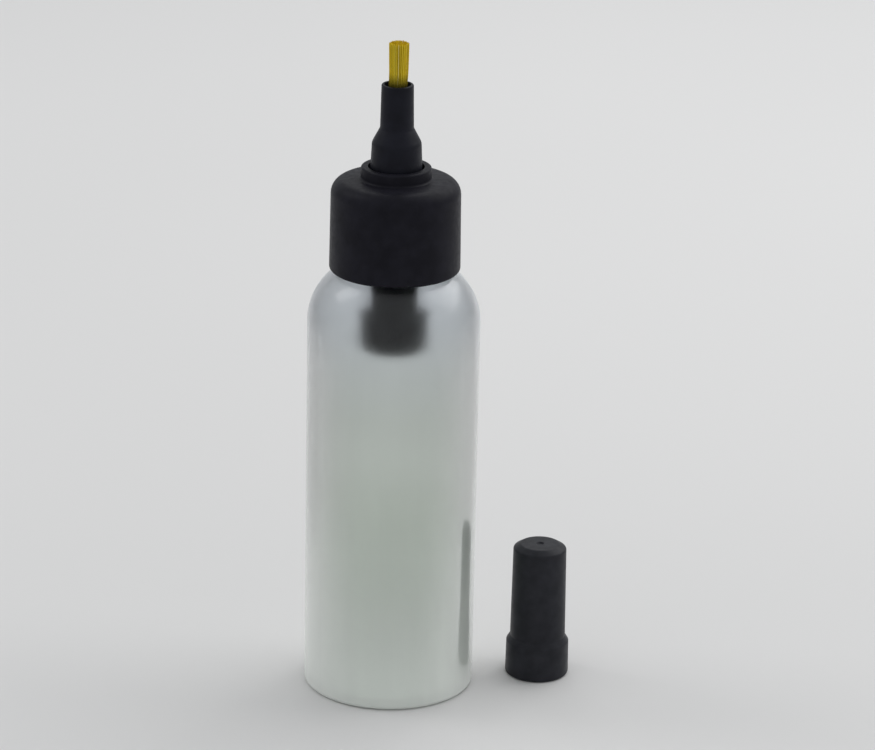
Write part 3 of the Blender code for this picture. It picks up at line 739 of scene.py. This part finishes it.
def window_cutter(material):
    """Bars through the cup's wall, one for each window."""
    reach = CUP_RADIUS + CUP_WALL
    start = GUIDE_PIN_RADIUS + SPRING_GAP + 2 * WIRE_RADIUS
    height = CUP_BASE + CUP_WINDOW_SILL + CUP_WINDOW_HEIGHT / 2
    middle = Matrix.Translation(((reach + start) / 2, 0.0, height))
    size = Matrix.Diagonal((reach - start, CUP_WINDOW_WIDTH, CUP_WINDOW_HEIGHT, 1.0))
    shape = bmesh.new()
    for index in range(CUP_WINDOWS):
        turn = Matrix.Rotation(math.tau * index / CUP_WINDOWS, 4, "Z")
        bmesh.ops.create_cube(shape, size=1.0, matrix=turn @ middle @ size)
    return add_object("window_cutter", shape, material)


def make_cup(material):
    """The cup round the spring, with a post on its floor that stops the nib's guide pin."""
    floor = CUP_BASE + CUP_FLOOR
    post_top = floor + CUP_POST_HEIGHT
    corners = [
        (0.0, CUP_BASE, 0.0),
        (CUP_RADIUS, CUP_BASE, CUP_EDGE_ARC),
        (CUP_RADIUS, CUP_TOP, EDGE),
        (CUP_BORE_RADIUS, CUP_TOP, EDGE),
        (CUP_BORE_RADIUS, floor, 2 * EDGE),
        (GUIDE_PIN_RADIUS, floor, 0.0),
        (GUIDE_PIN_RADIUS, post_top - GUIDE_PIN_EDGE, EDGE),
        (GUIDE_PIN_RADIUS - GUIDE_PIN_EDGE, post_top, EDGE),
        (0.0, post_top, 0.0),
    ]
    cup = lathe("valve_cup_body", eased(corners, steps=7), RING_COLUMNS, material)
    combine(cup, window_cutter(material), "DIFFERENCE")
    return dressed(cup, "applicator", "valve_cup")


def ribbed_stem(start, end, material):
    """The plunger's ribs, from one height to another. They leave room for the liquid between them."""
    half = PLUNGER_RIB_THICKNESS / 2
    places = []
    for index in range(PLUNGER_RIBS):
        turn = Matrix.Rotation(math.tau * index / PLUNGER_RIBS, 3, "Z")
        for along, across in ((half, -half), (STEM_RADIUS, -half), (STEM_RADIUS, half)):
            places.append(turn @ Vector((along, across, 0.0)))
    shape = bmesh.new()
    rings = []
    for height in (start, end):
        level = Vector((0.0, 0.0, height))
        rings.append([shape.verts.new(place + level) for place in places])
    sweep(shape, rings)
    return add_object("stem", shape, material)


def make_plunger(material):
    head_top = SEAL_BASE - SEAT_GAP
    head_base = head_top - PLUNGER_HEAD_THICKNESS
    corners = [
        (0.0, PLUNGER_BASE, 0.0),
        (GUIDE_PIN_RADIUS - GUIDE_PIN_EDGE, PLUNGER_BASE, EDGE),
        (GUIDE_PIN_RADIUS, PLUNGER_BASE + GUIDE_PIN_EDGE, EDGE),
        (GUIDE_PIN_RADIUS, head_base, 0.0),
        (PLUNGER_HEAD_RADIUS, head_base, EDGE),
        (PLUNGER_HEAD_RADIUS, head_top, EDGE),
        (0.0, head_top, 0.0),
    ]
    plunger = lathe("plunger_body", eased(corners), SMALL_COLUMNS, material)
    stem = ribbed_stem(head_top - PLUNGER_HEAD_THICKNESS / 2, PLUNGER_TOP, material)
    combine(plunger, stem, "UNION")
    return dressed(plunger, "nib", "valve_plunger")


def make_seal(material):
    outer_radius = SEAL_BORE_RADIUS + SEAL_WIDTH
    corners = [
        (SEAL_BORE_RADIUS, SEAL_BASE, EDGE),
        (outer_radius, SEAL_BASE, EDGE),
        (outer_radius, SEAL_TOP, 2 * EDGE),
        (SEAL_BORE_RADIUS, SEAL_TOP, 2 * EDGE),
    ]
    seal = lathe("seal_ring", eased(corners), SMALL_COLUMNS, material)
    return dressed(seal, "nib", "valve_seal")


def make_holder(material):
    floor = HOLDER_TOP - SOCKET_DEPTH
    flange_top = HOLDER_BASE + HOLDER_FLANGE_THICKNESS
    corners = [
        (HOLDER_PORT_RADIUS, HOLDER_BASE, EDGE),
        (STEM_RADIUS, HOLDER_BASE, EDGE),
        (STEM_RADIUS, flange_top, EDGE),
        (HOLDER_RADIUS, flange_top, 0.0),
        (HOLDER_RADIUS, HOLDER_TOP, EDGE),
        (SOCKET_RADIUS, HOLDER_TOP, EDGE),
        (SOCKET_RADIUS, floor, 0.0),
        (HOLDER_PORT_RADIUS, floor, 0.0),
    ]
    holder = lathe("holder_tube", eased(corners), SMALL_COLUMNS, material)
    return dressed(holder, "nib", "nib_holder")


def spring_height(turn):
    """Height of the wire's middle after this many turns: closed end coils, even ones between."""
    length = SPRING_TOP - SPRING_BASE
    closed = SPRING_CLOSED_PITCH * WIRE_RADIUS
    open_height = length - 2 * WIRE_RADIUS - 2 * SPRING_CLOSED_TURNS * closed
    if turn <= SPRING_CLOSED_TURNS:
        return WIRE_RADIUS + closed * turn
    if turn <= SPRING_CLOSED_TURNS + SPRING_ACTIVE_TURNS:
        open_turns = turn - SPRING_CLOSED_TURNS
        start = WIRE_RADIUS + closed * SPRING_CLOSED_TURNS
        return start + open_height / SPRING_ACTIVE_TURNS * open_turns
    last = SPRING_ACTIVE_TURNS + 2 * SPRING_CLOSED_TURNS
    return length - WIRE_RADIUS - closed * (last - turn)


def wire_coil(material):
    """The spring's round wire, wound about the Z axis."""
    turns = SPRING_ACTIVE_TURNS + 2 * SPRING_CLOSED_TURNS
    shape = bmesh.new()
    rings = []
    for step in range(turns * SPRING_STEPS + 1):
        angle = math.tau * step / SPRING_STEPS
        outward = Vector((math.cos(angle), math.sin(angle), 0.0))
        height = SPRING_BASE + spring_height(step / SPRING_STEPS)
        middle = outward * SPRING_RADIUS + Vector((0.0, 0.0, height))
        ring = []
        for side in range(WIRE_SIDES):
            round_wire = math.tau * side / WIRE_SIDES
            across = outward * math.cos(round_wire)
            up = Vector((0.0, 0.0, math.sin(round_wire)))
            ring.append(shape.verts.new(middle + (across + up) * WIRE_RADIUS))
        rings.append(ring)
    sweep(shape, rings)
    return add_object("return_coil", shape, material)


def make_spring(material):
    """The return spring, on a mesh of its own; the real one shortens as the nib is pressed."""
    spring = dressed(wire_coil(material), "applicator", "return_spring")
    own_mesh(spring)
    return spring


def add_strand(shape, tone_layer, tone, place, draws):
    """One bristle from the root to its ragged tip, with a slight lean, wander and taper."""
    root = BRUSH_BASE + SOCKET_DEPTH / 2
    tip = BRUSH_TIP - STRAND_RAGGED * draws.random()
    lean = Vector((STRAND_LEAN, 0.0, 0.0))
    wander = Vector((draws.uniform(-1, 1), draws.uniform(-1, 1), 0.0)) * STRAND_WANDER
    start_angle = draws.uniform(0, math.tau)
    rings = []
    for step in range(STRAND_RINGS):
        height = root + (tip - root) * step / (STRAND_RINGS - 1)
        out = max(0.0, (height - HOLDER_TOP) / (BRUSH_TIP - HOLDER_TOP))
        middle = place * (1 + (STRAND_SPREAD - 1) * out)
        middle += lean * min(1.0, STRAND_LEAN_RATE * out)
        middle += wander * math.sin(STRAND_BEND * out)
        radius = STRAND_RADIUS * (1 - STRAND_TAPER * out)
        ring = []
        for side in range(STRAND_SIDES):
            angle = start_angle + math.tau * side / STRAND_SIDES
            offset = Vector((math.cos(angle), math.sin(angle), 0.0)) * radius
            vertex = shape.verts.new(middle + offset + Vector((0.0, 0.0, height)))
            vertex[tone_layer] = tone
            ring.append(vertex)
        rings.append(ring)
    sweep(shape, rings)


def fused_root(material):
    """The short root in the holder's socket, where the bristles are melted together."""
    root_top = BRUSH_BASE + ROOT_SHARE * SOCKET_DEPTH
    corners = [
        (0.0, BRUSH_BASE, 0.0),
        (BRUSH_RADIUS, BRUSH_BASE, EDGE),
        (BRUSH_RADIUS, root_top, EDGE),
        (0.0, root_top, 0.0),
    ]
    return lathe("fused_root", eased(corners), ROOT_COLUMNS, material)


def make_brush(material):
    """Several hundred fine bristles in a round bundle, painted paler round its edge as a painted
    highlight, on a fused root.
    """
    draws = random.Random(STRAND_SEED)
    shape = bmesh.new()
    tone_layer = shape.verts.layers.float.new("tone")
    for index in range(STRANDS):
        share = math.sqrt((index + 0.5) / STRANDS)
        angle = GOLDEN_ANGLE * index
        reach = (BRUSH_RADIUS - STRAND_RADIUS) * share
        place = Vector((math.cos(angle), math.sin(angle), 0.0)) * reach
        # Painted highlight: strands near the edge of the bundle are painted paler.
        painted_rim_highlight = max(0.0, share - PAINTED_RIM_START) * PAINTED_RIM_GAIN
        tone = min(1.0, max(0.0, draws.gauss(TONE_MIDDLE, TONE_SPREAD) + painted_rim_highlight))
        add_strand(shape, tone_layer, tone, place, draws)
    strands = add_object("brush_bristles", shape, material)
    root = fused_root(material)
    root.parent = strands
    return dressed(strands, "nib", "brush_tuft")


def make_overcap(material):
    """A wide grip, a step and a tall body, with the small round mark of the mould's gate on top."""
    step_top = CAP_GRIP_HEIGHT + CAP_STEP_HEIGHT
    body_top_radius = CAP_BODY_RADIUS - CAP_BODY_DRAFT
    inner_radius = body_top_radius - CAP_INNER_WALL
    depth = CAP_HEIGHT - CAP_ROOF
    bead_radius = CAP_BORE_RADIUS - CAP_BEAD
    gate_floor = CAP_HEIGHT - CAP_GATE_DEPTH
    corners = [
        (0.0, depth, 0.0),
        (inner_radius, depth, 2 * EDGE),
        (CAP_BODY_RADIUS - CAP_INNER_WALL, step_top, EDGE),
        (CAP_BORE_RADIUS, CAP_GRIP_HEIGHT, EDGE),
        (CAP_BORE_RADIUS, CAP_BEAD_HEIGHT + CAP_BEAD_LENGTH, 0.0),
        (bead_radius, CAP_BEAD_HEIGHT + CAP_BEAD_LENGTH / 2, 0.0),
        (CAP_BORE_RADIUS, CAP_BEAD_HEIGHT, 0.0),
        (CAP_BORE_RADIUS, CAP_EDGE, 0.0),
        (CAP_BORE_RADIUS + CAP_EDGE, 0.0, 0.0),
        (CAP_GRIP_RADIUS, 0.0, CAP_FOOT_ARC),
        (CAP_GRIP_RADIUS - CAP_GRIP_DRAFT, CAP_GRIP_HEIGHT, CAP_GRIP_ARC),
        (CAP_BODY_RADIUS, step_top, CAP_STEP_ARC),
        (body_top_radius, CAP_HEIGHT - CAP_ROOF_DROP, CAP_CHAMFER_ARC),
        (body_top_radius - CAP_ROOF_CHAMFER, CAP_HEIGHT, CAP_ROOF_ARC),
        (CAP_GATE_RADIUS, CAP_HEIGHT, EDGE / 2),
        (CAP_GATE_RADIUS - CAP_GATE_DEPTH, gate_floor, EDGE / 2),
        (0.0, gate_floor, 0.0),
    ]
    cap = lathe("overcap_shell", eased(corners, steps=6), WIDE_COLUMNS, material)
    cap.location = (CAP_PLACE.x, CAP_PLACE.y, 0.0)
    return dressed(cap, "bottle", "overcap")


def make_camera():
    camera = bpy.data.objects.new("camera", bpy.data.cameras.new("camera"))
    camera.data.sensor_fit = "HORIZONTAL"
    camera.data.sensor_width = SENSOR_WIDTH
    camera.data.lens = SENSOR_WIDTH * FOCAL_PIXELS / PHOTO_WIDTH
    turn = Matrix.Rotation(-CAMERA_YAW, 4, "Z")
    tilt = Matrix.Rotation(math.pi / 2 - CAMERA_PITCH, 4, "X")
    roll = Matrix.Rotation(CAMERA_ROLL, 4, "Z")
    camera.matrix_world = Matrix.Translation(CAMERA_PLACE) @ turn @ tilt @ roll
    bpy.context.scene.collection.objects.link(camera)
    bpy.context.scene.camera = camera


def make_stage():
    """A plain pale floor and an even pale world."""
    finish = Finish("studio_floor", Specular_IOR_Level=0.2)
    soft = finish.noise(3.0, detail=1.0)
    finish.colour(finish.ramp(soft, [(0.3, (0.665, 0.66, 0.655)), (0.7, (0.685, 0.68, 0.675))]))
    finish.rough(finish.spread(soft, 0.8, 0.9))
    shape = bmesh.new()
    bmesh.ops.create_grid(
        shape, x_segments=FLOOR_SQUARES, y_segments=FLOOR_SQUARES, size=FLOOR_REACH
    )
    add_object("studio_floor", shape, finish.material)
    world = bpy.data.worlds.new("studio")
    world.use_nodes = True
    background = world.node_tree.nodes["Background"]
    background.inputs["Color"].default_value = (*WORLD_COLOUR, 1.0)
    background.inputs["Strength"].default_value = WORLD_STRENGTH
    bpy.context.scene.world = world


def make_light(name, azimuth, elevation, distance, size, power):
    """A soft box that faces the bottle. Azimuth 0 is at the camera and 90 to its right."""
    around = math.radians(azimuth)
    up = math.radians(elevation)
    back = Vector((math.sin(around) * math.cos(up), -math.cos(around) * math.cos(up), math.sin(up)))
    data = bpy.data.lights.new(name, "AREA")
    data.shape = "RECTANGLE"
    data.size, data.size_y = size
    data.energy = power
    light = bpy.data.objects.new(name, data)
    facing = back.to_track_quat("Z", "Y").to_matrix().to_4x4()
    light.matrix_world = Matrix.Translation(LAMP_AIM + back * distance) @ facing
    bpy.context.scene.collection.objects.link(light)


def make_lights():
    make_light("back_box", azimuth=172, elevation=48, distance=1.2, size=(0.9, 0.6), power=2.15)
    make_light("right_box", azimuth=118, elevation=42, distance=0.9, size=(0.9, 0.7), power=3.3)
    make_light("left_box", azimuth=-104, elevation=44, distance=1.0, size=(0.35, 0.5), power=1.3)


def make_pieces():
    """Makes every piece. Closure, nozzle and overcap are one plastic, in slightly different blacks."""
    closure_black = black_finish(
        "closure_black",
        (0.0098, 0.0096, 0.0136),
        roughness=(0.36, 0.48),
        grain=0.000006,
        ior=1.155,
    )
    nozzle_black = black_finish(
        "nozzle_black", (0.0072, 0.0076, 0.0120), roughness=(0.38, 0.50), grain=0.000007
    )
    overcap_black = black_finish(
        "overcap_black", (0.0170, 0.0176, 0.0215), roughness=(0.34, 0.46), grain=0.000006
    )
    acetal = black_finish(
        "black_acetal", (0.004, 0.004, 0.005), roughness=(0.28, 0.40), grain=0.000003
    )
    make_bottle(frosted_finish())
    make_closure(closure_black)
    make_gasket(foam_finish())
    make_nozzle(nozzle_black)
    make_cup(acetal)
    make_plunger(acetal)
    make_seal(elastomer_finish())
    make_holder(acetal)
    make_spring(steel_finish())
    make_brush(bristle_finish())
    make_overcap(overcap_black)


make_camera()
make_stage()
make_lights()
make_pieces()
bpy.context.scene.view_settings.view_transform = "Standard"
